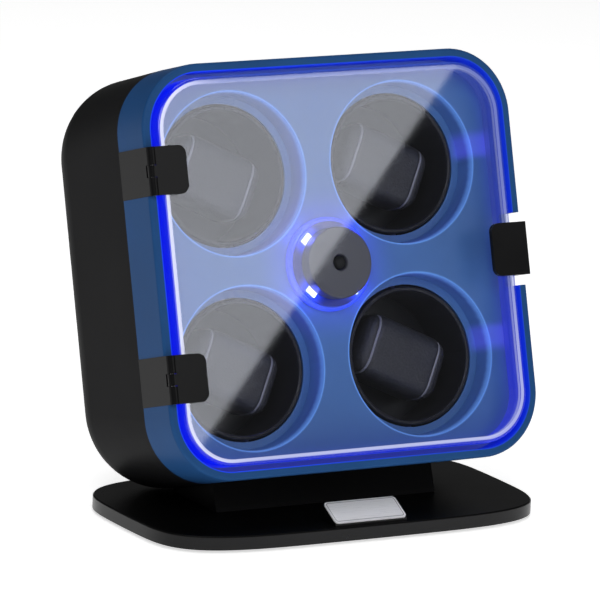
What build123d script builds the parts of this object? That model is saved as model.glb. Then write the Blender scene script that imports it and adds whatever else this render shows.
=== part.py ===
from build123d import *
import math
import os

os.makedirs("parts", exist_ok=True)

# Four-place watch winder box. Millimetres, +Z up, origin on the ground under the middle of the base.
# The case is drawn upright: x to the right, y from its front plane towards the back, z up from its
# middle. lean_back then tilts it about x and lifts it over the base.

# ---- driving dimensions ----
base_width = 247.0
base_depth = 141.0
base_thickness = 8.0
base_roundness = 4.4
mat_thickness = 2.0
mat_inset = 14.0
mat_corner = 45.0

case_width = 240.0
case_height = 236.0
case_depth = 124.0
corner_radius = 38.0
rear_corner = 50.0
rear_radius = 28.0
band_depth = 31.0
lip = 5.0
wall = 3.0
lean = 16.5
case_forward = 21.4
case_lift = mat_thickness + base_thickness + 142.2

cup_pitch = 110.87
half_pitch = cup_pitch / 2
recess_radius = 46.9
panel_front = 18.0
panel_thickness = 2.5
recess_depth = 16.0
recess_wall = 2.0
rotor_radius = 40.0
rotor_front = 30.5
rotor_depth = 44.5
rotor_wall = 2.5
cushion_turn = -26.0

door_gap = 3.0
door_front = -2.0
door_sheet = 3.0
door_depth = 16.0
skirt_wall = 2.5

hinge_height = 27.5
hinge_z = 58.7
hinge_pin = 1.2
knuckle = 2.8
knuckle_gap = 0.2
middle_knuckle = 7.0
hinge_axis_x = -case_width / 2 + 2.6
hinge_axis_y = -2.2
running_gap = 0.05
flap_right = -96.7

gear_module = 1.6
rotor_teeth = 58
drive_teeth = 40
pressure_angle = math.radians(20)
gear_backlash = 0.25
gear_front = 78.0
gear_thickness = 6.0
shaft_radius = 3.0

deck_front = 88.0
deck_thickness = 3.0
post_x = 80.0
post_z = 78.0

lamp_radius = 20.5
lamp_front = 2.5
lamp_depth = 8.5
flange_radius = 27.0
led_ring = 20.7
button_radius = 4.0

control_z = -70.0
cover_z = 15.0
cover_width = 150.0
cover_height = 110.0

lean_back = Location((0, -case_forward, case_lift), (-lean, 0, 0))
cup_spots = [(-half_pitch, half_pitch), (half_pitch, half_pitch), (-half_pitch, -half_pitch),
             (half_pitch, -half_pitch)]
post_spots = [(sx * post_x, sz * post_z) for sx in (-1, 1) for sz in (-1, 1)]


def facing(depth):
    """The upright plane that faces the front, at this depth behind the case's front plane."""
    return Plane.XZ.offset(-depth)


def save(piece, name, place=Location()):
    """Name a finished piece, move it to its place and write it."""
    placed = piece.moved(place)
    placed.label = name
    export_step(placed, f"parts/{name}.step")


def disc(radius, front, thickness, spot=(0, 0)):
    """A round plate that faces the front."""
    with BuildPart() as plate:
        with BuildSketch(facing(front)):
            with Locations(spot):
                Circle(radius)
        extrude(amount=-thickness)
    return plate.part


def block(low, high):
    """A plain block between two opposite corners."""
    size = [b - a for a, b in zip(low, high)]
    middle = [(a + b) / 2 for a, b in zip(low, high)]
    with BuildPart() as solid:
        with Locations(tuple(middle)):
            Box(*size)
    return solid.part


# ---- base ----
def base_outline(half_width, half_depth):
    """Points of the base's full, slightly bowed outline."""
    points = []
    steps = 48
    for step in range(steps):
        turn = 2 * math.pi * (step + 0.5) / steps
        across = math.copysign(abs(math.cos(turn)) ** (2 / base_roundness), math.cos(turn))
        along = math.copysign(abs(math.sin(turn)) ** (2 / base_roundness), math.sin(turn))
        points.append((half_width * across, half_depth * along))
    return points


pedestal_width = 144.0
pedestal_depth = 52.0
pedestal_middle = 10.0
pedestal_screw_x = 52.0
pedestal_screw_y = 13.0
pedestal_screws_at = [(sx * pedestal_screw_x, pedestal_middle + sy * pedestal_screw_y)
                      for sx in (-1, 1) for sy in (-1, 1)]
base_top = mat_thickness + base_thickness

with BuildPart() as base_plate:
    with BuildSketch(Plane.XY.offset(mat_thickness)):
        with BuildLine():
            Spline(*base_outline(base_width / 2, base_depth / 2), periodic=True)
        make_face()
    extrude(amount=base_thickness)
    chamfer(base_plate.faces().sort_by(Axis.Z)[-1].edges(), 0.8)
    with Locations(*[(x, y, mat_thickness) for x, y in pedestal_screws_at]):
        Cylinder(2.2, base_thickness, align=(Align.CENTER, Align.CENTER, Align.MIN), mode=Mode.SUBTRACT)
        Cylinder(4.2, 3.4, align=(Align.CENTER, Align.CENTER, Align.MIN), mode=Mode.SUBTRACT)
save(base_plate.part, "base_plate")

with BuildPart() as base_mat:
    with BuildSketch(Plane.XY):
        RectangleRounded(base_width - 2 * mat_inset, base_depth - 2 * mat_inset, mat_corner)
    extrude(amount=mat_thickness)
save(base_mat.part, "base_mat")

plate_width = 46.6
plate_length = 17.7
plate_tilt = 27.2
plate_front = -base_depth / 2 + 3.2
holder_lip = 1.6
plate_run = plate_length * math.cos(math.radians(plate_tilt))
plate_rise = plate_length * math.sin(math.radians(plate_tilt))

with BuildPart() as plate_holder:
    with BuildSketch(Plane.YZ.offset(-plate_width / 2)):
        with BuildLine():
            Polyline((plate_front, base_top), (plate_front + plate_run, base_top),
                     (plate_front + plate_run, base_top + holder_lip + plate_rise),
                     (plate_front, base_top + holder_lip), (plate_front, base_top), close=True)
        make_face()
    extrude(amount=plate_width)
save(plate_holder.part, "plate_holder")

with BuildPart() as name_plate:
    with BuildSketch(Plane.XY):
        RectangleRounded(plate_width, plate_length, 2.5)
    extrude(amount=0.8)
plate_place = Location((0, plate_front + plate_run / 2, base_top + holder_lip + plate_rise / 2), (plate_tilt, 0, 0))
save(name_plate.part, "name_plate", plate_place)

slope = math.tan(math.radians(lean))
case_foot_z = case_lift - case_height / 2 * math.cos(math.radians(lean))
case_foot_y = -case_forward - case_height / 2 * math.sin(math.radians(lean))


def under_case(y):
    """Height of the case's leaning underside at this depth."""
    return case_foot_z - (y - case_foot_y) * slope


front_y = pedestal_middle - pedestal_depth / 2
back_y = pedestal_middle + pedestal_depth / 2
with BuildPart() as pedestal:
    with BuildSketch(Plane.YZ.offset(-pedestal_width / 2)):
        with BuildLine():
            Polyline((front_y, base_top), (back_y, base_top), (back_y, under_case(back_y)),
                     (front_y + 6, under_case(front_y + 6)), (front_y, base_top), close=True)
        make_face()
    extrude(amount=pedestal_width)
    with Locations(*[(x, y, base_top) for x, y in pedestal_screws_at]):
        Cylinder(1.8, 4, align=(Align.CENTER, Align.CENTER, Align.MIN), mode=Mode.SUBTRACT)
save(pedestal.part, "pedestal")

with BuildPart() as pedestal_screws:
    with Locations(*[(x, y, mat_thickness + 0.4) for x, y in pedestal_screws_at]):
        Cylinder(4.0, 3.0, align=(Align.CENTER, Align.CENTER, Align.MIN))
        Cylinder(1.8, base_thickness + 3, align=(Align.CENTER, Align.CENTER, Align.MIN))
save(pedestal_screws.part, "pedestal_screws")

# ---- case: black rear shell and blue front frame ----
rear_wall = case_depth - wall
jack_x = 60.0
knob_x = -60.0



def housing(margin):
    """The housing's full body behind the blue band, this much smaller than the outside all round."""
    width = case_width - 2 * margin
    height = case_height - 2 * margin
    with BuildPart() as body:
        with BuildSketch(facing(band_depth)):
            RectangleRounded(width, height, corner_radius - margin)
        with BuildSketch(facing(case_depth - margin)):
            RectangleRounded(width, height, rear_corner - margin)
        loft()
        fillet(body.faces().sort_by(Axis.Y)[-1].edges(), rear_radius - margin)
    return body.part


housing_body = housing(0)
housing_room = housing(wall)

with BuildPart() as rear_shell:
    add(housing_body)
    add(housing_room, mode=Mode.SUBTRACT)
    with BuildSketch(facing(case_depth)):
        with Locations((0, cover_z)):
            RectangleRounded(cover_width - 14, cover_height - 24, 5)
        with Locations((0, control_z)):
            Rectangle(19.0, 13.0)
        with Locations((jack_x, control_z)):
            Circle(5.5)
        with Locations((knob_x, control_z)):
            Circle(3.6)
        with Locations((0, cover_z)):
            with GridLocations(cover_width - 12, cover_height - 12, 2, 2):
                Circle(1.4)
    extrude(amount=wall, mode=Mode.SUBTRACT)
save(rear_shell.part, "rear_shell", lean_back)

inner_width = case_width - 2 * lip
inner_height = case_height - 2 * lip
inner_corner = corner_radius - lip
pull_notch = 42.0
notch_depth = 16.0

with BuildPart() as front_frame:
    with BuildSketch(facing(0)):
        RectangleRounded(case_width, case_height, corner_radius)
    extrude(amount=-band_depth)
    fillet(front_frame.faces().sort_by(Axis.Y)[0].edges(), 1.8)
    with BuildSketch(facing(0)):
        RectangleRounded(inner_width, inner_height, inner_corner)
    extrude(amount=-band_depth, mode=Mode.SUBTRACT)
    for side in (-1, 1):
        with Locations((-case_width / 2 + lip / 2, panel_front / 2, side * hinge_z)):
            Box(lip + 1, panel_front, hinge_height, mode=Mode.SUBTRACT)
        with Locations((-case_width / 2, band_depth / 2, side * hinge_z)):
            Box(lip, band_depth, hinge_height, mode=Mode.SUBTRACT)
    with Locations((case_width / 2 - lip / 2, notch_depth / 2, 0)):
        Box(lip + 1, notch_depth, pull_notch, mode=Mode.SUBTRACT)
save(front_frame.part, "front_frame", lean_back)

# ---- display panel with four round recesses ----
recess_floor = panel_front + recess_depth
opening_radius = rotor_radius + 1.2

with BuildPart() as display_panel:
    with BuildSketch(facing(panel_front)):
        RectangleRounded(inner_width, inner_height, inner_corner)
    extrude(amount=-panel_thickness)
    with BuildSketch(facing(panel_front)):
        with Locations(*cup_spots):
            Circle(recess_radius + recess_wall)
    extrude(amount=-recess_depth)
    with BuildSketch(facing(panel_front)):
        with Locations(*cup_spots):
            Circle(recess_radius)
    extrude(amount=-(recess_depth - 2.0), taper=6, mode=Mode.SUBTRACT)
    with BuildSketch(facing(panel_front)):
        with Locations(*cup_spots):
            Circle(opening_radius)
        Circle(6.0)
    extrude(amount=-recess_depth, mode=Mode.SUBTRACT)
save(display_panel.part, "display_panel", lean_back)

# ---- rotors: cup, cushion, gear and shaft, with a bush for each in the deck ----
rotor_rear = rotor_front + rotor_depth
hub_radius = 8.0
shaft_rear = deck_front + deck_thickness + 5.0
bush_radius = 6.0
bush_front = deck_front - 2.0


def rotor_cup(spot):
    """An open cup with rounded floor corners and two slots that hold the cushion's spring ends."""
    with BuildPart() as cup:
        with BuildSketch(facing(rotor_front)):
            with Locations(spot):
                Circle(rotor_radius)
        extrude(amount=-rotor_depth)
        fillet(cup.faces().sort_by(Axis.Y)[-1].edges(), 5)
        with BuildSketch(facing(rotor_front)):
            with Locations(spot):
                Circle(rotor_radius - rotor_wall)
        extrude(amount=-(rotor_depth - rotor_wall - 1), mode=Mode.SUBTRACT)
        fillet(cup.edges().filter_by(GeomType.CIRCLE).sort_by(Axis.Y)[0:2], 1.0)
        with BuildSketch(facing(rotor_rear)):
            with Locations(spot):
                Circle(shaft_radius)
        extrude(amount=3.5, mode=Mode.SUBTRACT)
    return cup.part


cushion_length = 60.0
cushion_height = 42.0
cushion_front = 33.0
cushion_depth = 36.0


def cushion(spot):
    """A plain soft block, turned about the rotor's axis, that stands on the cup's floor."""
    with BuildPart() as pad:
        with BuildSketch(facing(cushion_front)):
            with Locations(Location(spot, cushion_turn)):
                RectangleRounded(cushion_length, cushion_height, 14)
        extrude(amount=-cushion_depth)
        fillet(pad.faces().sort_by(Axis.Y)[0].edges(), 9)
    return pad.part


def involute(angle):
    """The involute function of a pressure angle."""
    return math.tan(angle) - angle


def gear_outline(teeth, gap_at, backlash):
    """Outline of a spur gear whose tooth space, not tooth, points along gap_at (radians)."""
    pitch_r = gear_module * teeth / 2
    base_r = pitch_r * math.cos(pressure_angle)
    root_r = pitch_r - 1.25 * gear_module
    tip_r = pitch_r + 0.95 * gear_module
    half_at_pitch = math.pi / (2 * teeth) - backlash / (2 * pitch_r)
    radii = [root_r, pitch_r - 0.5 * gear_module, pitch_r, pitch_r + 0.5 * gear_module, tip_r]
    flank = []
    for radius in radii:
        pressure = math.acos(min(base_r / radius, 1.0))
        half = half_at_pitch + involute(pressure_angle) - involute(pressure)
        flank.append((radius, half))
    points = []
    for tooth in range(teeth):
        middle = gap_at + (tooth + 0.5) * 2 * math.pi / teeth
        for radius, half in flank:
            points.append((radius * math.cos(middle - half), radius * math.sin(middle - half)))
        for radius, half in reversed(flank):
            points.append((radius * math.cos(middle + half), radius * math.sin(middle + half)))
    return points


def spur_gear(teeth, gap_at, spot, hub):
    """A gear with a hub towards the back and a bore for its shaft."""
    with BuildPart() as gear:
        with BuildSketch(facing(gear_front)):
            with Locations(spot):
                with BuildLine():
                    Polyline(*gear_outline(teeth, gap_at, gear_backlash / 2), close=True)
                make_face()
        extrude(amount=-gear_thickness)
        with BuildSketch(facing(gear_front)):
            with Locations(spot):
                Circle(hub)
        extrude(amount=-(gear_thickness + 1.2))
        with BuildSketch(facing(gear_front)):
            with Locations(spot):
                Circle(shaft_radius)
        extrude(amount=-(gear_thickness + 1.2), mode=Mode.SUBTRACT)
    return gear.part


for number, spot in enumerate(cup_spots, start=1):
    towards_middle = math.atan2(-spot[1], -spot[0])
    save(rotor_cup(spot), f"rotor_cup_{number}", lean_back)
    save(cushion(spot), f"cushion_{number}", lean_back)
    gear = spur_gear(rotor_teeth, towards_middle, (0, 0), hub_radius)
    save(gear, f"rotor_gear_{number}", lean_back * Location((spot[0], 0, spot[1])))
    shaft = disc(shaft_radius, rotor_rear - 3.5, shaft_rear - rotor_rear + 3.5, spot)
    save(shaft, f"rotor_shaft_{number}", lean_back)

with BuildPart() as shaft_bushes:
    with BuildSketch(facing(bush_front)):
        with Locations(*cup_spots):
            Circle(bush_radius)
            Circle(shaft_radius + running_gap, mode=Mode.SUBTRACT)
    extrude(amount=-(deck_thickness + 7.0))
save(shaft_bushes.part, "shaft_bushes", lean_back)

# ---- drive: deck, motor and centre gear ----
drive_gap_at = math.pi / 4 + math.pi / drive_teeth
motor_front = deck_front + deck_thickness
motor_radius = 17.0
motor_depth = 20.0
motor_screw_ring = 26.0
motor_shaft_rear = motor_front + 6.0

with BuildPart() as gear_deck:
    with BuildSketch(facing(deck_front)):
        RectangleRounded(2 * post_x + 16, 2 * post_z + 16, 20)
        with Locations(*cup_spots):
            Circle(bush_radius, mode=Mode.SUBTRACT)
        with Locations(*post_spots):
            Circle(2.0, mode=Mode.SUBTRACT)
        with PolarLocations(motor_screw_ring / 2, 2):
            Circle(1.5, mode=Mode.SUBTRACT)
        Circle(shaft_radius + 1.0, mode=Mode.SUBTRACT)
    extrude(amount=-deck_thickness)
save(gear_deck.part, "gear_deck", lean_back)

with BuildPart() as deck_posts:
    with BuildSketch(facing(motor_front)):
        with Locations(*post_spots):
            Circle(5.0)
            Circle(2.0, mode=Mode.SUBTRACT)
    extrude(amount=-(rear_wall - motor_front))
save(deck_posts.part, "deck_posts", lean_back)

with BuildPart() as deck_screws:
    with BuildSketch(facing(deck_front - 2.4)):
        with Locations(*post_spots):
            Circle(4.0)
    extrude(amount=-2.4)
    with BuildSketch(facing(deck_front)):
        with Locations(*post_spots):
            Circle(2.0)
    extrude(amount=-14.0)
save(deck_screws.part, "deck_screws", lean_back)

save(spur_gear(drive_teeth, drive_gap_at, (0, 0), 7.0), "drive_gear", lean_back)
save(disc(shaft_radius, gear_front, motor_shaft_rear - gear_front), "drive_shaft", lean_back)

with BuildPart() as gear_motor:
    with BuildSketch(facing(motor_front)):
        Circle(motor_radius)
    extrude(amount=-motor_depth)
    fillet(gear_motor.faces().sort_by(Axis.Y)[-1].edges(), 1.5)
    with BuildSketch(facing(motor_front)):
        Circle(shaft_radius + running_gap)
    extrude(amount=-(motor_shaft_rear - motor_front + 0.5), mode=Mode.SUBTRACT)
    with BuildSketch(facing(motor_front)):
        with PolarLocations(motor_screw_ring / 2, 2):
            Circle(1.5)
    extrude(amount=-5.0, mode=Mode.SUBTRACT)
save(gear_motor.part, "gear_motor", lean_back)

with BuildPart() as motor_screws:
    with BuildSketch(facing(deck_front - 1.6)):
        with PolarLocations(motor_screw_ring / 2, 2):
            Circle(2.8)
    extrude(amount=-1.6)
    with BuildSketch(facing(deck_front)):
        with PolarLocations(motor_screw_ring / 2, 2):
            Circle(1.5)
    extrude(amount=-(deck_thickness + 4.5))
save(motor_screws.part, "motor_screws", lean_back)

# ---- control board on four posts behind the deck ----
board_front = 104.0
board_width = 80.0
board_z = 62.0
board_posts_at = [(sx * 33, board_z + sz * 12) for sx in (-1, 1) for sz in (-1, 1)]

with BuildPart() as control_board:
    with BuildSketch(facing(board_front)):
        with Locations((0, board_z)):
            Rectangle(board_width, 34)
    extrude(amount=-1.6)
save(control_board.part, "control_board", lean_back)

with BuildPart() as board_posts:
    with BuildSketch(facing(motor_front)):
        with Locations(*board_posts_at):
            Circle(2.5)
    extrude(amount=-(board_front - motor_front))
save(board_posts.part, "board_posts", lean_back)

# ---- centre lamp with its push button ----
flange_front = 14.5
board_face = flange_front - 1.4
chip_face = board_face - 1.4
cap_rear = lamp_front + lamp_depth
button_stroke = 1.2
button_face = lamp_front - 0.3

with BuildPart() as lamp_flange:
    with BuildSketch(facing(flange_front)):
        Circle(flange_radius)
    extrude(amount=-(panel_front - flange_front))
    chamfer(lamp_flange.faces().sort_by(Axis.Y)[0].edges(), 1.2)
    with BuildSketch(facing(panel_front)):
        Circle(6.0)
    extrude(amount=-panel_thickness)
save(lamp_flange.part, "lamp_flange", lean_back)

save(disc(24.5, board_face, flange_front - board_face), "led_board", lean_back)

with BuildPart() as led_chips:
    with BuildSketch(facing(chip_face)):
        with PolarLocations(led_ring, 4, start_angle=45):
            Rectangle(4.6, 6.4)
    extrude(amount=-(board_face - chip_face))
save(led_chips.part, "led_chips", lean_back)

with BuildPart() as lamp_collar:
    with BuildSketch(facing(cap_rear)):
        Circle(15.5)
        Circle(6.0, mode=Mode.SUBTRACT)
    extrude(amount=-(board_face - cap_rear))
save(lamp_collar.part, "lamp_collar", lean_back)

with BuildPart() as lamp_cap:
    with BuildSketch(facing(lamp_front)):
        Circle(lamp_radius)
    extrude(amount=-lamp_depth)
    fillet(lamp_cap.faces().sort_by(Axis.Y)[0].edges(), 0.9)
    with BuildSketch(facing(lamp_front)):
        Circle(button_radius + 0.7)
    extrude(amount=-lamp_depth, mode=Mode.SUBTRACT)
    chamfer(lamp_cap.edges().filter_by(GeomType.CIRCLE).sort_by(Axis.Y)[0:2].sort_by(SortBy.RADIUS)[0], 0.4)
save(lamp_cap.part, "lamp_cap", lean_back)

with BuildPart() as push_button:
    with BuildSketch(facing(button_face)):
        Circle(button_radius)
    extrude(amount=-6.0)
    fillet(push_button.faces().sort_by(Axis.Y)[0].edges(), 2.2)
    with BuildSketch(facing(button_face + 5.0)):
        Circle(button_radius - 0.2)
    extrude(amount=-1.6)
save(push_button.part, "push_button", lean_back)

spring_front = button_face + 6.6
with BuildPart() as button_spring:
    with BuildSketch(facing(spring_front)):
        Circle(2.6)
        Circle(1.8, mode=Mode.SUBTRACT)
    extrude(amount=-(board_face - spring_front))
save(button_spring.part, "button_spring", lean_back)

# ---- rear: cover, power inlet, mode knob and power rocker ----
with BuildPart() as rear_cover:
    with BuildSketch(facing(case_depth)):
        with Locations((0, cover_z)):
            RectangleRounded(cover_width, cover_height, 8)
            with GridLocations(cover_width - 12, cover_height - 12, 2, 2):
                Circle(1.4, mode=Mode.SUBTRACT)
            with GridLocations(14.0, 40.0, 7, 2):
                SlotOverall(24.0, 3.6, rotation=90, mode=Mode.SUBTRACT)
    extrude(amount=-2.0)
save(rear_cover.part, "rear_cover", lean_back)

with BuildPart() as cover_screws:
    with BuildSketch(facing(case_depth + 2.0)):
        with Locations((0, cover_z)):
            with GridLocations(cover_width - 12, cover_height - 12, 2, 2):
                Circle(2.6)
    extrude(amount=-1.4)
    with BuildSketch(facing(rear_wall - 3.0)):
        with Locations((0, cover_z)):
            with GridLocations(cover_width - 12, cover_height - 12, 2, 2):
                Circle(1.4)
    extrude(amount=-(wall + 5.0))
save(cover_screws.part, "cover_screws", lean_back)

inlet_radius = 2.8
inlet_depth = 10.0
with BuildPart() as power_inlet:
    with BuildSketch(facing(case_depth)):
        with Locations((jack_x, control_z)):
            Circle(7.0)
    extrude(amount=-1.5)
    with BuildSketch(facing(case_depth)):
        with Locations((jack_x, control_z)):
            Circle(5.5)
    extrude(amount=12.0)
    with BuildSketch(facing(case_depth + 1.5)):
        with Locations((jack_x, control_z)):
            Circle(inlet_radius)
    extrude(amount=inlet_depth, mode=Mode.SUBTRACT)
save(power_inlet.part, "power_inlet", lean_back)

knob_shaft = 2.0
with BuildPart() as mode_switch:
    with BuildSketch(facing(rear_wall)):
        with Locations((knob_x, control_z)):
            RectangleRounded(16, 16, 1)
    extrude(amount=9.0)
    with BuildSketch(facing(case_depth)):
        with Locations((knob_x, control_z)):
            Circle(3.6)
    extrude(amount=wall)
    with BuildSketch(facing(case_depth)):
        with Locations((knob_x, control_z)):
            Circle(knob_shaft + running_gap)
    extrude(amount=8.0, mode=Mode.SUBTRACT)
save(mode_switch.part, "mode_switch", lean_back)

with BuildPart() as mode_knob:
    with BuildSketch(facing(case_depth + 0.4)):
        with Locations((knob_x, control_z)):
            Circle(9.0)
    extrude(amount=-9.0)
    with BuildSketch(facing(case_depth + 0.4)):
        with Locations((knob_x, control_z)):
            with PolarLocations(9.4, 24):
                Circle(0.8)
    extrude(amount=-9.0, mode=Mode.SUBTRACT)
    with BuildSketch(facing(case_depth + 8.6)):
        with Locations((knob_x, control_z + 5.0)):
            Rectangle(1.4, 6.0)
    extrude(amount=-0.8, mode=Mode.SUBTRACT)
    with BuildSketch(facing(case_depth + 0.4)):
        with Locations((knob_x, control_z)):
            Circle(knob_shaft)
    extrude(amount=7.0)
save(mode_knob.part, "mode_knob", lean_back)

rocker_half = 7.6
rocker_pivot = 1.2
rocker_axis_y = case_depth - 1.0
with BuildPart() as rocker_frame:
    with BuildSketch(facing(case_depth)):
        with Locations((0, control_z)):
            RectangleRounded(22, 16, 1.5)
    extrude(amount=-1.4)
    with BuildSketch(facing(case_depth)):
        with Locations((0, control_z)):
            Rectangle(19.0, 13.0)
    extrude(amount=13.0)
    with BuildSketch(facing(case_depth + 1.4)):
        with Locations((0, control_z)):
            Rectangle(17.4, 10.4)
    extrude(amount=9.0, mode=Mode.SUBTRACT)
    with Locations((0, rocker_axis_y, control_z)):
        Cylinder(rocker_pivot + running_gap, 12.2, mode=Mode.SUBTRACT)
save(rocker_frame.part, "rocker_frame", lean_back)

with BuildPart() as rocker_cap:
    with BuildSketch(Plane.XY.offset(control_z - 4.9)):
        with BuildLine():
            Polyline((-rocker_half, rocker_axis_y - 1.5), (-rocker_half, rocker_axis_y + 2.0),
                     (0, rocker_axis_y + 3.6), (rocker_half, rocker_axis_y + 5.4),
                     (rocker_half, rocker_axis_y + 0.5), (3.0, rocker_axis_y - 3.0),
                     (-3.0, rocker_axis_y - 3.0), (-rocker_half, rocker_axis_y - 1.5), close=True)
        make_face()
    extrude(amount=9.8)
    with Locations((0, rocker_axis_y, control_z)):
        Cylinder(rocker_pivot, 11.6)
save(rocker_cap.part, "rocker_cap", lean_back)

# ---- clear door, its two hinges and its pull ----
door_width = inner_width - 2 * door_gap
door_height = inner_height - 2 * door_gap
door_corner = inner_corner - door_gap

with BuildPart() as clear_door:
    with BuildSketch(facing(door_front)):
        RectangleRounded(door_width, door_height, door_corner)
    extrude(amount=-door_depth)
    fillet(clear_door.faces().sort_by(Axis.Y)[0].edges(), 1.8)
    with BuildSketch(facing(door_front + door_sheet)):
        RectangleRounded(door_width - 2 * skirt_wall, door_height - 2 * skirt_wall, door_corner - skirt_wall)
    extrude(amount=-(door_depth - door_sheet), mode=Mode.SUBTRACT)
save(clear_door.part, "clear_door", lean_back)

bracket_left = -case_width / 2 - 0.3
bracket_right = -case_width / 2 + 3.6


def hinge_bracket(middle_z):
    """A block that fills the frame's notch and carries the two outer knuckles."""
    with BuildPart() as bracket:
        with BuildSketch(Plane.XY.offset(middle_z - hinge_height / 2)):
            with BuildLine():
                Polyline((bracket_left, 0), (bracket_right, 0), (bracket_right, panel_front),
                         (-case_width / 2 + 2.5, panel_front), (-case_width / 2 + 2.5, band_depth),
                         (bracket_left, band_depth), (bracket_left, 0), close=True)
            make_face()
            with Locations((hinge_axis_x, hinge_axis_y)):
                Circle(knuckle)
            with Locations(((bracket_left + hinge_axis_x) / 2, hinge_axis_y / 2)):
                Rectangle(hinge_axis_x - bracket_left, -hinge_axis_y)
        extrude(amount=hinge_height)
        with Locations((hinge_axis_x, hinge_axis_y, middle_z)):
            Cylinder(knuckle + knuckle_gap, middle_knuckle, mode=Mode.SUBTRACT)
            Cylinder(hinge_pin, hinge_height, mode=Mode.SUBTRACT)
        with Locations((hinge_axis_x, hinge_axis_y - knuckle, middle_z)):
            Box(4 * knuckle, -2 * (hinge_axis_y - knuckle), middle_knuckle, mode=Mode.SUBTRACT)
    return bracket.part


def hinge_flap(middle_z):
    """The leaf on the door: a short middle knuckle and a flat leaf with rounded free corners."""
    leaf_left = hinge_axis_x + 0.4 * knuckle
    leaf_face = hinge_axis_y - knuckle
    arm = leaf_left + 3.0 - hinge_axis_x
    with BuildPart() as flap:
        with BuildSketch(facing(leaf_face)):
            with Locations(((leaf_left + flap_right) / 2, middle_z)):
                leaf = Rectangle(flap_right - leaf_left, hinge_height)
            fillet(leaf.vertices().group_by(Axis.X)[-1], 5.0)
        extrude(amount=-(door_front - leaf_face))
        with Locations((hinge_axis_x, hinge_axis_y, middle_z)):
            Cylinder(knuckle + knuckle_gap, hinge_height, mode=Mode.SUBTRACT)
        with BuildSketch(Plane.XY.offset(middle_z - middle_knuckle / 2 + knuckle_gap)):
            with Locations((hinge_axis_x, hinge_axis_y)):
                Circle(knuckle)
            with Locations((hinge_axis_x + arm / 2, leaf_face + 1.4)):
                Rectangle(arm, 2.8)
        extrude(amount=middle_knuckle - 2 * knuckle_gap)
        with Locations((hinge_axis_x, hinge_axis_y, middle_z)):
            Cylinder(hinge_pin + running_gap, hinge_height, mode=Mode.SUBTRACT)
    return flap.part


hinge_places = {"upper": hinge_z, "lower": -hinge_z}
for name, middle_z in hinge_places.items():
    save(hinge_bracket(middle_z), f"hinge_bracket_{name}", lean_back)
    save(hinge_flap(middle_z), f"hinge_flap_{name}", lean_back)

with BuildPart() as hinge_pins:
    with Locations(*[(hinge_axis_x, hinge_axis_y, middle_z) for middle_z in hinge_places.values()]):
        Cylinder(hinge_pin, hinge_height)
save(hinge_pins.part, "hinge_pins", lean_back)

pull_height = 30.6
pull_left = 97.0
pull_right = case_width / 2 + 0.6
pull_face = door_front - 3.0
magnet_depth = 2.5
magnet_low = (door_width / 2 + 1.6, door_front + door_depth - magnet_depth, -8.0)
magnet_high = (door_width / 2 + 6.0, door_front + door_depth, 8.0)
pull_magnet = block(magnet_low, magnet_high)

with BuildPart() as door_pull:
    with BuildSketch(facing(pull_face)):
        with Locations(((pull_left + pull_right) / 2, 0)):
            grip = Rectangle(pull_right - pull_left, pull_height)
        fillet(grip.vertices().group_by(Axis.X)[0], 5.0)
        fillet(grip.vertices().group_by(Axis.X)[-1], 1.0)
    extrude(amount=-(door_front - pull_face))
    with BuildSketch(facing(door_front)):
        with Locations(((door_width / 2 + pull_right) / 2, 0)):
            Rectangle(pull_right - door_width / 2, pull_height)
    extrude(amount=-door_depth)
    fillet(door_pull.edges().filter_by(Axis.Z).sort_by(Axis.Y)[0:2].sort_by(Axis.X)[-1], 1.0)
    add(pull_magnet, mode=Mode.SUBTRACT)
save(door_pull.part, "door_pull", lean_back)
save(pull_magnet, "pull_magnet", lean_back)

keeper_low = (case_width / 2 - lip + 0.6, notch_depth - 1.2, -8.0)
keeper_high = (case_width / 2 - 0.6, notch_depth, 8.0)
save(block(keeper_low, keeper_high), "keeper_plate", lean_back)
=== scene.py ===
import math

import bpy
import bmesh
from mathutils import Matrix, Vector


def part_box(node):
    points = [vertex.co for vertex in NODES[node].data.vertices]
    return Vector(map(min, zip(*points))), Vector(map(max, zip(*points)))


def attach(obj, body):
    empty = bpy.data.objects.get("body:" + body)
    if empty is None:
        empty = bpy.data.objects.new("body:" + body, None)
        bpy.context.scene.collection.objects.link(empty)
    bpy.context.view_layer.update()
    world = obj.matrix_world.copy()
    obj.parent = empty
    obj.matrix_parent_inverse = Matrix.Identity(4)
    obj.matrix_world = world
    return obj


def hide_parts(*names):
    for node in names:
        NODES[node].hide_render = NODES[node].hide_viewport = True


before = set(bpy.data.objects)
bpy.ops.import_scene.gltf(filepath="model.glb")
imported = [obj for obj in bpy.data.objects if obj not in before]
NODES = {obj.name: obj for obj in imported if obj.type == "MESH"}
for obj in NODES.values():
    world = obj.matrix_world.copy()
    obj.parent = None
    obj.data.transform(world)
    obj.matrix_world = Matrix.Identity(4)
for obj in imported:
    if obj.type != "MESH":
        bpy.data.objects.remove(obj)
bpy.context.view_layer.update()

bpy.ops.object.select_all(action="DESELECT")

# ---- the case's own axes: x right, y towards the back from its front plane, z up from its middle ----
LEAN = math.radians(16.5)
CASE_MIDDLE = Vector((0.0, -0.0214, 0.1522))
CASE_PLACE = Matrix.Translation(CASE_MIDDLE) @ Matrix.Rotation(-LEAN, 4, "X")
CUP_PITCH = 0.11087
CUPS = [(-1, 1), (1, 1), (-1, -1), (1, -1)]


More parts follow.
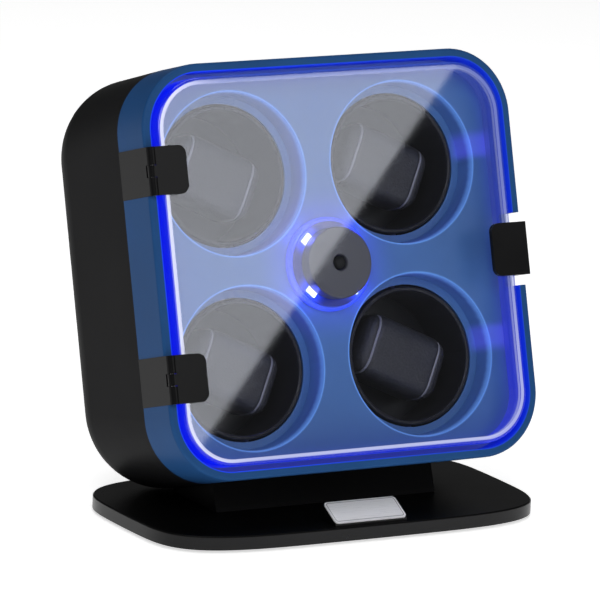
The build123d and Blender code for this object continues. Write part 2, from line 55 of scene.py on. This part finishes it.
# ---- shader maths: one wrapped socket, with operators that add Math nodes ----
class Value:
    """A number, colour or vector that varies over a surface."""

    def __init__(self, shader, socket):
        self.shader = shader
        self.socket = socket

    def math(self, operation, *others):
        return self.shader.math(operation, self, *others)

    def __add__(self, other):
        return self.math("ADD", other)

    def __sub__(self, other):
        return self.math("SUBTRACT", other)

    def __mul__(self, other):
        return self.math("MULTIPLY", other)

    def __radd__(self, other):
        return self.shader.math("ADD", other, self)

    def __rsub__(self, other):
        return self.shader.math("SUBTRACT", other, self)

    def __rmul__(self, other):
        return self.shader.math("MULTIPLY", other, self)

    def clip(self):
        """The value held between 0 and 1."""
        return self.math("MAXIMUM", 0.0).math("MINIMUM", 1.0)


class Shader:
    """One material, built node by node around its Principled shader."""

    def __init__(self, name, colour, roughness, metallic=0.0, coat=0.0, specular=0.5):
        self.material = bpy.data.materials.new(name)
        self.material.use_nodes = True
        self.tree = self.material.node_tree
        self.body = self.tree.nodes["Principled BSDF"]
        self.body.inputs["Base Color"].default_value = (*colour, 1.0)
        self.body.inputs["Roughness"].default_value = roughness
        self.body.inputs["Metallic"].default_value = metallic
        self.body.inputs["Coat Weight"].default_value = coat
        self.body.inputs["Specular IOR Level"].default_value = specular

    def node(self, kind, settings=None, **inputs):
        """Any node: its settings first, then the values or links of its sockets."""
        made = self.tree.nodes.new(kind)
        for key, setting in (settings or {}).items():
            setattr(made, key, setting)
        for key, value in inputs.items():
            self.feed(made.inputs[key.replace("_", " ")], value)
        return made

    def feed(self, socket, value):
        """Link a varying value to a socket, or set a plain one on it."""
        if isinstance(value, Value):
            self.tree.links.new(value.socket, socket)
        else:
            socket.default_value = value

    def math(self, operation, *values):
        """One Math node over values that may be plain numbers."""
        made = self.node("ShaderNodeMath", {"operation": operation})
        for socket, value in zip(made.inputs, values):
            self.feed(socket, value)
        return Value(self, made.outputs[0])

    def place(self, upright=False):
        """The point on the piece, in the row's axes or in the case's own upright axes (metres)."""
        point = self.node("ShaderNodeTexCoord").outputs["Object"]
        if not upright:
            return Value(self, point)
        turn = self.node("ShaderNodeMapping", {"vector_type": "TEXTURE"}, Vector=Value(self, point),
                         Location=tuple(CASE_MIDDLE), Rotation=(-LEAN, 0.0, 0.0))
        return Value(self, turn.outputs[0])

    def split(self, point):
        """The point's three coordinates."""
        made = self.node("ShaderNodeSeparateXYZ", Vector=point)
        return [Value(self, made.outputs[axis]) for axis in "XYZ"]

    def stretch(self, x, y, z, scales):
        """The point with each of its axes scaled by its own number."""
        made = self.node("ShaderNodeCombineXYZ", X=x * scales[0], Y=y * scales[1], Z=z * scales[2])
        return Value(self, made.outputs[0])

    def noise(self, scale, point=None, detail=3.0):
        """Cloudy noise between 0 and 1, at this many waves to the metre."""
        made = self.node("ShaderNodeTexNoise", Vector=point or self.place(), Scale=scale, Detail=detail)
        return Value(self, made.outputs["Fac"])

    def cells(self, scale, point=None):
        """Distance to the middle of rounded cells, such as a hide's pebbles."""
        made = self.node("ShaderNodeTexVoronoi", {"feature": "SMOOTH_F1"}, Vector=point or self.place(),
                         Scale=scale)
        return Value(self, made.outputs["Distance"])

    def blend(self, mask, first, second):
        """first where the mask is 0 and second where it is 1, as a colour."""
        made = self.node("ShaderNodeMix", {"data_type": "RGBA"})
        self.feed(made.inputs[0], mask)
        self.feed(made.inputs[6], first if isinstance(first, Value) else (*first, 1.0))
        self.feed(made.inputs[7], second if isinstance(second, Value) else (*second, 1.0))
        return Value(self, made.outputs[2])

    def step(self, value, start, end):
        """0 before start and 1 after end, smoothly; start may be more than end."""
        made = self.node("ShaderNodeMapRange", {"interpolation_type": "SMOOTHSTEP"}, Value=value)
        made.inputs["From Min"].default_value = min(start, end)
        made.inputs["From Max"].default_value = max(start, end)
        smooth = Value(self, made.outputs[0])
        return smooth if start < end else 1.0 - smooth

    def colour(self, value):
        self.feed(self.body.inputs["Base Color"], value)

    def rough(self, value):
        self.feed(self.body.inputs["Roughness"], value)

    def glow(self, colour, strength=1.0):
        self.feed(self.body.inputs["Emission Color"], colour)
        self.body.inputs["Emission Strength"].default_value = strength

    def bump(self, height, depth, strength=1.0):
        made = self.node("ShaderNodeBump", Height=height)
        made.inputs["Strength"].default_value = strength
        made.inputs["Distance"].default_value = depth
        self.feed(self.body.inputs["Normal"], Value(self, made.outputs[0]))

    def round_square(self, x, z, half_width, half_height, corner):
        """Distance outside a rounded rectangle, below zero inside it."""
        past_x = (x.math("ABSOLUTE") - (half_width - corner)).math("MAXIMUM", 0.0)
        past_z = (z.math("ABSOLUTE") - (half_height - corner)).math("MAXIMUM", 0.0)
        return (past_x * past_x + past_z * past_z).math("SQRT") - corner


def moulded(name, colour, roughness, grain=1400.0, depth=0.00002, specular=0.5, coat=0.0):
    """Moulded plastic with a fine spark-eroded grain and faint handling marks."""
    shader = Shader(name, colour, roughness, specular=specular, coat=coat)
    cloud = shader.noise(22.0, detail=4.0)
    fine = shader.noise(grain, detail=2.0)
    lighter = tuple(min(1.0, 1.35 * channel + 0.001) for channel in colour)
    shader.colour(shader.blend((cloud - 0.35).clip(), colour, lighter))
    shader.rough(roughness + 0.12 * (cloud - 0.5) + 0.05 * (fine - 0.5))
    shader.bump(fine, depth)
    return shader


def turned_metal(name, colour, roughness, rings=2200.0):
    """Metal with fine tooling lines."""
    shader = Shader(name, colour, roughness, metallic=1.0)
    x, y, z = shader.split(shader.place(upright=True))
    lines = shader.noise(1.0, shader.stretch(x, y, z, (160.0, rings, 160.0)), detail=2.0)
    shader.rough(roughness + 0.22 * (lines - 0.5))
    shader.bump(lines, 0.00001)
    return shader


VIOLET = (0.10, 0.06, 1.0)
UNLIT = (0.0, 0.0, 0.0)
FRAME_INSIDE = (0.115, 0.113, 0.033)
DOOR_OUTSIDE = (0.112, 0.110, 0.030)
RECESS = 0.0469
LAMP_RING = 0.0207


def frame_blue():
    """Satin blue paint with a painted deep-blue glow on its inner wall, standing in for the lamp's light;
    the painted light is stronger towards the front and on the left.
    """
    shader = moulded("frame_blue", (0.014, 0.062, 0.180), 0.40, grain=1800.0, specular=0.05)
    x, y, z = shader.split(shader.place(upright=True))
    outside = shader.round_square(x, z, *FRAME_INSIDE)
    inner_wall = shader.step(outside, 0.0008, 0.0002)
    # painted lamp light on the inner wall, stronger towards the front and on the left
    front = shader.step(y, 0.016, 0.001) * (0.4 + 0.6 * shader.step(x, 0.10, -0.10))
    lit = inner_wall * (0.35 + 0.65 * front)
    shader.glow(shader.blend(lit, UNLIT, (0.0, 0.004, 0.75)), 1.0)
    return shader.material


def panel_blue():
    """Satin blue panel with a painted glow standing in for the lamp's light: brighter near the lamp, round
    its edge, in two spots near the right edge and on the recesses' lit walls, and a painted highlight line
    along each recess rim.
    """
    shader = moulded("panel_blue", (0.056, 0.150, 0.370), 0.36, grain=1800.0, specular=0.3)
    x, y, z = shader.split(shader.place(upright=True))
    across = x.math("ABSOLUTE") - CUP_PITCH / 2
    along = z.math("ABSOLUTE") - CUP_PITCH / 2
    from_cup = (across * across + along * along).math("SQRT")
    from_lamp = (x * x + z * z).math("SQRT")
    outside = shader.round_square(x, z, *FRAME_INSIDE)
    # painted glow round the panel's edge, standing in for the lamp's light
    edge = shader.step(outside, -0.012, -0.0005)
    lamp = shader.step(from_lamp, 0.047, 0.024)
    wall = shader.step(from_cup, RECESS + 0.0005, RECESS - 0.0003) * shader.step(y, 0.0182, 0.0190)
    facing_lamp = shader.step(from_lamp, 0.115, 0.035)
    # two painted light spots near the panel's right edge
    from_spots = (z - 0.007).math("ABSOLUTE")
    between = shader.step(from_spots, 0.046, 0.052) * shader.step(from_spots, 0.066, 0.058)
    spot = between * shader.step(x, 0.094, 0.103)
    # rim: mask for a painted highlight line along each recess rim, standing in for a lit rounded edge
    rim = shader.step(from_cup, RECESS - 0.0007, RECESS)
    rim = rim * shader.step(from_cup, RECESS + 0.0012, RECESS + 0.0004)
    deep = wall * shader.step(y, 0.034, 0.022)
    # lit: all the painted lamp light on the panel
    lit = (0.16 * edge + 0.55 * spot + 0.20 * lamp + 0.14 * deep * (0.25 + 0.75 * facing_lamp)).clip()
    glow = shader.blend(lit, UNLIT, VIOLET)
    # painted highlight along each recess rim
    rim_highlight = shader.blend(rim, UNLIT, (0.10, 0.24, 0.62))
    both = shader.node("ShaderNodeMix", {"data_type": "RGBA", "blend_type": "ADD"})
    both.inputs[0].default_value = 1.0
    shader.feed(both.inputs[6], glow)
    shader.feed(both.inputs[7], rim_highlight)
    shader.glow(Value(shader, both.outputs[2]), 0.62)
    return shader.material


def lamp_base_blue():
    """The lamp's base ring, with a painted blue glow standing in for the light from its own lights."""
    shader = moulded("lamp_base_blue", (0.030, 0.090, 0.300), 0.25, coat=0.3)
    x, _, z = shader.split(shader.place(upright=True))
    from_lamp = (x * x + z * z).math("SQRT")
    # painted glow, brighter towards the ring's outer edge
    ring = shader.step(from_lamp, 0.0235, 0.0262)
    shader.glow(shader.blend(ring, (0.0, 0.002, 0.22), (0.03, 0.05, 0.9)), 1.0)
    return shader.material


def lamp_board_blue():
    """The lights' dark board, with a painted pool of blue light close to each light and a faint painted
    blue glow elsewhere.
    """
    shader = moulded("lamp_board_blue", (0.010, 0.030, 0.150), 0.3, coat=0.4)
    x, _, z = shader.split(shader.place(upright=True))
    diagonal = LAMP_RING * math.sqrt(0.5)
    across = x.math("ABSOLUTE") - diagonal
    along = z.math("ABSOLUTE") - diagonal
    from_light = (across * across + along * along).math("SQRT")
    # painted pool of blue light round each light
    close = shader.step(from_light, 0.011, 0.002)
    shader.glow(shader.blend(close, (0.0, 0.0, 0.10), (0.02, 0.06, 1.0)), 1.0)
    return shader.material


def light_white():
    """The face of a lit chip."""
    shader = Shader("light_white", (0.8, 0.85, 1.0), 0.4)
    spot = shader.noise(900.0)
    shader.glow(shader.blend(spot, (0.72, 0.82, 1.0), (1.0, 1.0, 1.0)), 1.5)
    return shader.material


def clear_acrylic():
    """Clear acrylic: a mirror-like gloss that grows with slant, over clear, and a rim with a painted glow
    standing in for the lamp's light.

    The rim is a painted deep-blue glow with a painted pale highlight line inside it, both strongest on the
    left and low down.
    """
    shader = Shader("clear_acrylic", (0.92, 0.94, 1.0), 0.02)
    x, y, z = shader.split(shader.place(upright=True))
    outside = shader.round_square(x, z, *DOOR_OUTSIDE)
    sheet = shader.step(y, 0.0014, 0.0008)
    # line: mask for a painted pale highlight along the door's front edge
    line = shader.step(outside, -0.0042, -0.0037) * shader.step(outside, -0.0017, -0.0021) * sheet
    # skirt and rim: painted deep-blue glow of the lamp's light in the door's edge
    skirt = shader.step(outside, -0.0030, -0.0024) * (1.0 - sheet)
    rim = (shader.step(outside, -0.0020, -0.0016) * sheet + skirt).clip()
    lit = (line + rim).clip()
    slant = Value(shader, shader.node("ShaderNodeLayerWeight", Blend=0.5).outputs["Facing"])
    gloss = 0.046 + 0.954 * slant.math("POWER", 5.0)
    clear = shader.node("ShaderNodeBsdfTransparent")
    clear.inputs["Color"].default_value = (0.97, 0.98, 1.0, 1.0)
    # painted light is stronger on the left and low down
    low = shader.step(z, 0.060, -0.090)
    left = shader.step(x, -0.060, -0.105)
    strong = (0.12 + 0.88 * left + 0.55 * low * (1.0 - left)).clip()
    cover = (gloss + (0.35 + 0.33 * strong) * line + (0.26 + 0.36 * strong) * rim).clip()
    shader.colour(shader.blend(lit, (0.92, 0.94, 1.0), (0.004, 0.010, 0.16)))
    shader.feed(shader.body.inputs["Metallic"], 1.0 - lit)
    edge_glow = shader.blend(line, shader.blend(strong, (0.030, 0.060, 0.20), (0.0, 0.003, 0.66)),
                             shader.blend(strong, (0.30, 0.36, 0.55), (0.80, 0.82, 0.95)))
    shader.glow(shader.blend(lit, UNLIT, edge_glow), 1.0)
    shader.rough(0.015 + 0.02 * shader.noise(60.0))
    mix = shader.node("ShaderNodeMixShader")
    shader.feed(mix.inputs[0], cover)
    shader.tree.links.new(clear.outputs[0], mix.inputs[1])
    shader.tree.links.new(shader.body.outputs[0], mix.inputs[2])
    shader.tree.links.new(mix.outputs[0], shader.tree.nodes["Material Output"].inputs["Surface"])
    return shader.material


def brushed_plate():
    """Brushed aluminium, its lines along x, with a shallow engraved border."""
    shader = Shader("brushed_plate", (0.80, 0.80, 0.81), 0.34, metallic=0.2)
    x, y, z = shader.split(shader.place())
    lines = shader.noise(1.0, shader.stretch(x, y, z, (60.0, 5200.0, 60.0)), detail=3.0)
    low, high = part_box("name_plate")
    half_width = (high[0] - low[0]) / 2
    half_depth = (high[1] - low[1]) / 2
    middle = (low[1] + high[1]) / 2
    outside = shader.round_square(x, y - middle, half_width - 0.0012, half_depth - 0.0012, 0.0015)
    border = shader.step(outside.math("ABSOLUTE"), 0.0004, 0.0001)
    shader.colour(shader.blend(border, (0.80, 0.80, 0.81), (0.34, 0.34, 0.35)))
    shader.rough(0.30 + 0.2 * (lines - 0.5))
    shader.bump(lines - 2.0 * border, 0.00003)
    return shader.material


def leather_black():
    """Soft black leather: pebbled grain, lighter between the pebbles, and small creases."""
    shader = Shader("leather_black", (0.022, 0.022, 0.025), 0.5, specular=0.45)
    grain = shader.cells(900.0)
    creases = shader.noise(140.0, detail=6.0)
    shader.colour(shader.blend(grain, (0.012, 0.012, 0.014), (0.038, 0.038, 0.043)))
    shader.rough(0.40 + 0.20 * grain + 0.10 * creases)
    shader.bump(grain + 0.8 * creases, 0.00035, 0.55)
    return shader.material


def thread_grey():
    """Waxed piping with a fine twist."""
    shader = Shader("thread_grey", (0.20, 0.20, 0.23), 0.45)
    twist = shader.noise(2600.0)
    shader.colour(shader.blend(twist, (0.13, 0.13, 0.155), (0.27, 0.27, 0.31)))
    shader.bump(twist, 0.00005)
    return shader.material


def circuit_green():
    """Lacquered board with faint copper runs."""
    shader = Shader("circuit_green", (0.008, 0.05, 0.03), 0.35, coat=0.5)
    runs = shader.node("ShaderNodeTexWave", {"bands_direction": "X"}, Vector=shader.place(upright=True),
                       Scale=260.0, Distortion=2.5)
    lines = shader.step(Value(shader, runs.outputs["Fac"]), 0.62, 0.7)
    shader.colour(shader.blend(lines, (0.006, 0.035, 0.022), (0.02, 0.10, 0.055)))
    shader.bump(lines, 0.00003)
    return shader.material


def paint(material, *names):
    """Give CAD nodes their finish; each keeps its own shape."""
    for name in names:
        mesh = NODES[name].data
        mesh.materials.clear()
        mesh.materials.append(material)


def every(stem):
    """The names of the four like nodes with this stem."""
    return [f"{stem}_{number}" for number in range(1, 5)]


black_case = moulded("black_case", (0.0065, 0.0065, 0.0070), 0.50, grain=1500.0, depth=0.00003,
                     specular=0.04).material
black_base = moulded("black_base", (0.0018, 0.0018, 0.0020), 0.30, grain=900.0, depth=0.000008,
                     specular=0.25).material
black_cup = moulded("black_cup", (0.009, 0.009, 0.012), 0.36, grain=1500.0, specular=0.3).material
gloss_black = moulded("gloss_black", (0.0060, 0.0060, 0.0064), 0.24, grain=500.0, depth=0.000002,
                      specular=0.08).material
lamp_grey = moulded("lamp_grey", (0.062, 0.062, 0.074), 0.42, grain=2000.0, depth=0.00003).material
gear_white = moulded("gear_white", (0.62, 0.61, 0.57), 0.45).material
mat_rubber = moulded("mat_rubber", (0.014, 0.014, 0.014), 0.75, grain=700.0, depth=0.00012).material
steel = turned_metal("steel", (0.56, 0.56, 0.58), 0.28).material
dark_screw = turned_metal("dark_screw", (0.16, 0.16, 0.17), 0.38).material
bush_brass = turned_metal("bush_brass", (0.68, 0.48, 0.20), 0.30).material

paint(black_case, "rear_shell", "rear_cover", "mode_switch", "gear_deck", "mode_knob", "power_inlet",
      "rocker_frame", "pedestal")
paint(black_base, "base_plate", "plate_holder")
paint(black_cup, *every("rotor_cup"))
paint(gloss_black, "hinge_bracket_upper", "hinge_bracket_lower", "hinge_flap_upper", "hinge_flap_lower",
      "door_pull", "push_button", "rocker_cap")
paint(lamp_grey, "lamp_cap")
paint(gear_white, "drive_gear", *every("rotor_gear"))
paint(mat_rubber, "base_mat")
paint(steel, "drive_shaft", "hinge_pins", "keeper_plate", "button_spring", "pull_magnet", "deck_posts",
      "board_posts", "gear_motor", *every("rotor_shaft"))
paint(dark_screw, "pedestal_screws", "deck_screws", "motor_screws", "cover_screws")
paint(bush_brass, "shaft_bushes")
paint(frame_blue(), "front_frame")
paint(panel_blue(), "display_panel")
paint(lamp_base_blue(), "lamp_flange", "lamp_collar")
paint(lamp_board_blue(), "led_board")
paint(circuit_green(), "control_board")
paint(light_white(), "led_chips")
paint(clear_acrylic(), "clear_door")
paint(brushed_plate(), "name_plate")


# ---- padded cushions ----
CUSHION_LENGTH = 0.056
CUSHION_HEIGHT = 0.038
CUSHION_DEPTH = 0.032
CUSHION_MIDDLE = 0.0512
CUSHION_TURN = math.radians(26.0)
SEAM_AT = 0.0205
SEAM_DEPTH = 0.0012
SWELL_CAP = 0.0022
PIPING_RADIUS = 0.0008
PAD_BEVEL = 0.011
PAD_VOXEL = 0.0022
SEAM_WIDTH = 0.0011
PRESSURE = 4.0
SWELL_FRAMES = 20
leather = leather_black()
piping = thread_grey()


def modifier(piece, kind, **settings):
    """Add a modifier to the active piece and apply it."""
    bpy.context.view_layer.objects.active = piece
    added = piece.modifiers.new(kind.title(), kind)
    for key, setting in settings.items():
        setattr(added, key, setting)
    bpy.ops.object.modifier_apply(modifier=added.name)


def swell(piece):
    """Blow the leather up a little over its filling, and keep the result in the mesh."""
    rest = [vertex.co.copy() for vertex in piece.data.vertices]
    bpy.context.view_layer.objects.active = piece
    cloth = piece.modifiers.new("Cloth", "CLOTH")
    cloth.settings.quality = 5
    cloth.settings.use_pressure = True
    cloth.settings.uniform_pressure_force = PRESSURE
    cloth.settings.effector_weights.gravity = 0.0
    cloth.point_cache.frame_start = 1
    cloth.point_cache.frame_end = SWELL_FRAMES
    for moment in range(1, SWELL_FRAMES + 1):
        bpy.context.scene.frame_set(moment)
    bpy.ops.object.modifier_apply(modifier="Cloth")
    bpy.context.scene.frame_set(1)
    for vertex, start in zip(piece.data.vertices, rest):
        moved = vertex.co - start
        if moved.length > SWELL_CAP:
            vertex.co = start + moved * (SWELL_CAP / moved.length)


def cushion_body():
    """The pad: a rounded block, remeshed, swollen, and drawn in along a seam near each end."""
    bpy.ops.mesh.primitive_cube_add(size=1.0, location=(0, 0, 0))
    pad = bpy.context.object
    pad.scale = (CUSHION_LENGTH, CUSHION_DEPTH, CUSHION_HEIGHT)
    bpy.ops.object.transform_apply(location=False, rotation=False, scale=True)
    bpy.ops.object.mode_set(mode="EDIT")
    bpy.ops.mesh.select_all(action="SELECT")
    bpy.ops.mesh.bevel(offset=PAD_BEVEL, segments=6, profile=0.55)
    bpy.ops.object.mode_set(mode="OBJECT")
    modifier(pad, "REMESH", mode="VOXEL", voxel_size=PAD_VOXEL)
    swell(pad)
    modifier(pad, "SUBSURF", levels=1, render_levels=1)
    for vertex in pad.data.vertices:
        across = math.hypot(vertex.co.y, vertex.co.z)
        near = math.exp(-((abs(vertex.co.x) - SEAM_AT) / SEAM_WIDTH) ** 2)
        if across > 0:
            keep = 1.0 - SEAM_DEPTH * near / across
            vertex.co.y *= keep
            vertex.co.z *= keep
    bpy.ops.object.shade_smooth()
    return pad


def seam_piping(pad, side):
    """A cord laid in the seam, following the pad's own section there."""
    section = bmesh.new()
    section.from_mesh(pad.data)
    everything = section.verts[:] + section.edges[:] + section.faces[:]
    cut = bmesh.ops.bisect_plane(section, geom=everything, plane_co=(side * SEAM_AT, 0, 0),
                                 plane_no=(1, 0, 0))
    loop = [item.co.copy() for item in cut["geom_cut"] if isinstance(item, bmesh.types.BMVert)]
    section.free()
    loop.sort(key=lambda point: math.atan2(point.z, point.y))
    line = bpy.data.curves.new("piping_line", "CURVE")
    line.dimensions = "3D"
    line.bevel_depth = PIPING_RADIUS
    line.bevel_resolution = 3
    spline = line.splines.new("POLY")
    kept = loop[::3]
    spline.points.add(len(kept) - 1)
    spline.use_cyclic_u = True
    for knot, point in zip(spline.points, kept):
        knot.co = (*point, 1.0)
    cord = bpy.data.objects.new("piping_line", line)
    bpy.context.scene.collection.objects.link(cord)
    bpy.ops.object.select_all(action="DESELECT")
    cord.select_set(True)
    bpy.context.view_layer.objects.active = cord
    bpy.ops.object.convert(target="MESH")
    bpy.ops.object.shade_smooth()
    return bpy.context.object


def placed_copy(source, name, material, place):
    """A copy with its own mesh, its place in the mesh and its object at the origin."""
    copy = bpy.data.objects.new(name, source.data.copy())
    bpy.context.scene.collection.objects.link(copy)
    copy.data.name = name
    copy.data.transform(place)
    copy.data.materials.clear()
    copy.data.materials.append(material)
    return copy


pattern_pad = cushion_body()
pattern_piping = [seam_piping(pattern_pad, side) for side in (-1, 1)]
for number, (side_x, side_z) in enumerate(CUPS, start=1):
    spot = Matrix.Translation((side_x * CUP_PITCH / 2, CUSHION_MIDDLE, side_z * CUP_PITCH / 2))
    place = CASE_PLACE @ spot @ Matrix.Rotation(CUSHION_TURN, 4, "Y")
    pad = placed_copy(pattern_pad, f"cushion_pad_{number}", leather, place)
    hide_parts(f"cushion_{number}")
    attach(pad, f"rotor_{number}")
    for end, source in zip(("left", "right"), pattern_piping):
        trim = placed_copy(source, f"cushion_piping_{number}_{end}", piping, place)
        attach(trim, f"rotor_{number}")
for source in (pattern_pad, *pattern_piping):
    bpy.data.objects.remove(source)


# ---- floor, light and camera ----
AZIMUTH = math.radians(30.0)
ELEVATION = math.radians(12.64)
ROLL = math.radians(2.64)
DISTANCE = 3.8913
LENS = 410.9
SENSOR = 36.0
AIM_LEFT = 0.0243
AIM_DOWN = 0.0216
view_line = Vector((math.sin(AZIMUTH) * math.cos(ELEVATION), math.cos(AZIMUTH) * math.cos(ELEVATION),
                    -math.sin(ELEVATION)))
level = Vector((math.cos(AZIMUTH), -math.sin(AZIMUTH), 0.0))
upright = level.cross(view_line)
right = level * math.cos(ROLL) + upright * math.sin(ROLL)
up = upright * math.cos(ROLL) - level * math.sin(ROLL)

camera_data = bpy.data.cameras.new("camera")
camera_data.lens = LENS
camera_data.sensor_width = SENSOR
camera_data.clip_end = 100.0
camera = bpy.data.objects.new("camera", camera_data)
bpy.context.scene.collection.objects.link(camera)
aim = CASE_MIDDLE - right * AIM_LEFT - up * AIM_DOWN
eye = aim - view_line * DISTANCE
camera.matrix_world = Matrix((
    (right.x, up.x, -view_line.x, eye.x),
    (right.y, up.y, -view_line.y, eye.y),
    (right.z, up.z, -view_line.z, eye.z),
    (0.0, 0.0, 0.0, 1.0)))
bpy.context.scene.camera = camera

bpy.ops.mesh.primitive_plane_add(size=30.0, location=(0, 0, 0))
floor = bpy.context.object
floor.name = "floor"
paper = Shader("floor_paper", (0.90, 0.90, 0.90), 0.9, specular=0.1)
paper.glow((0.66, 0.66, 0.66, 1.0), 1.0)
floor.data.materials.append(paper.material)


def area_light(name, place, power, width, height):
    """A rectangular white light."""
    light = bpy.data.lights.new(name, "AREA")
    light.shape = "RECTANGLE"
    light.size = width
    light.size_y = height
    light.energy = power
    lamp = bpy.data.objects.new(name, light)
    lamp.matrix_world = place
    bpy.context.scene.collection.objects.link(lamp)


def looking(eye_at, target, width_axis=Vector((1, 0, 0))):
    """A place at eye_at whose -Z looks at the target and whose X lies near width_axis."""
    back = (eye_at - target).normalized()
    high = back.cross(width_axis).normalized()
    wide = high.cross(back)
    return Matrix.Translation(eye_at) @ Matrix((wide, high, back)).transposed().to_4x4()


def door_point(x, z):
    """A point on the closed door's front face, from its x and z in the case's axes."""
    return CASE_PLACE @ Vector((x, -0.002, z))


# A softbox whose straight edge mirrors in the door as a diagonal line.
outward = (CASE_PLACE.to_3x3() @ Vector((0, -1, 0))).normalized()
mirrored = view_line - 2 * view_line.dot(outward) * outward
glare_low = door_point(-0.100, -0.0945)
glare_high = door_point(0.086, 0.107)
SOFTBOX_AWAY = 1.5
SOFTBOX_LONG = 0.95
SOFTBOX_WIDE = 0.42
along_edge = (glare_high - glare_low).normalized()
towards_veil = outward.cross(along_edge)
if towards_veil.z < 0:
    towards_veil = -towards_veil
softbox_middle = ((glare_low + glare_high) / 2 + mirrored * SOFTBOX_AWAY + towards_veil * SOFTBOX_WIDE / 2)
area_light("softbox", looking(softbox_middle, softbox_middle - outward, along_edge), power=3.4,
           width=SOFTBOX_LONG, height=SOFTBOX_WIDE)
area_light("key", looking(Vector((-1.3, -1.9, 1.9)), CASE_MIDDLE), power=34.0, width=1.3, height=1.3)
area_light("top", looking(Vector((0.2, 0.5, 2.4)), CASE_MIDDLE), power=20.0, width=1.6, height=1.2)

LAMP_GLOW = (0.03, 0.06, 1.0)
LAMP_POWER = 0.007
LAMP_REACH = LAMP_RING + 0.004
LAMP_BEHIND = 0.0085
for quarter in range(4):
    turn = math.radians(45 + 90 * quarter)
    glow = bpy.data.lights.new(f"lamp_glow_{quarter}", "POINT")
    glow.color = LAMP_GLOW
    glow.energy = LAMP_POWER
    glow.shadow_soft_size = 0.002
    bulb = bpy.data.objects.new(glow.name, glow)
    bulb.location = CASE_PLACE @ Vector((LAMP_REACH * math.cos(turn), LAMP_BEHIND,
                                         LAMP_REACH * math.sin(turn)))
    bpy.context.scene.collection.objects.link(bulb)

world = bpy.data.worlds.new("studio")
world.use_nodes = True
sky = world.node_tree.nodes["Background"]
sky.inputs["Color"].default_value = (1.0, 1.0, 1.0, 1.0)
sky.inputs["Strength"].default_value = 0.07
seen = world.node_tree.nodes.new("ShaderNodeBackground")
seen.inputs["Color"].default_value = (1.0, 1.0, 1.0, 1.0)
which = world.node_tree.nodes.new("ShaderNodeLightPath")
chosen = world.node_tree.nodes.new("ShaderNodeMixShader")
world.node_tree.links.new(which.outputs["Is Camera Ray"], chosen.inputs[0])
world.node_tree.links.new(sky.outputs[0], chosen.inputs[1])
world.node_tree.links.new(seen.outputs[0], chosen.inputs[2])
world.node_tree.links.new(chosen.outputs[0], world.node_tree.nodes["World Output"].inputs["Surface"])
bpy.context.scene.world = world
bpy.context.scene.view_settings.view_transform = "Standard"
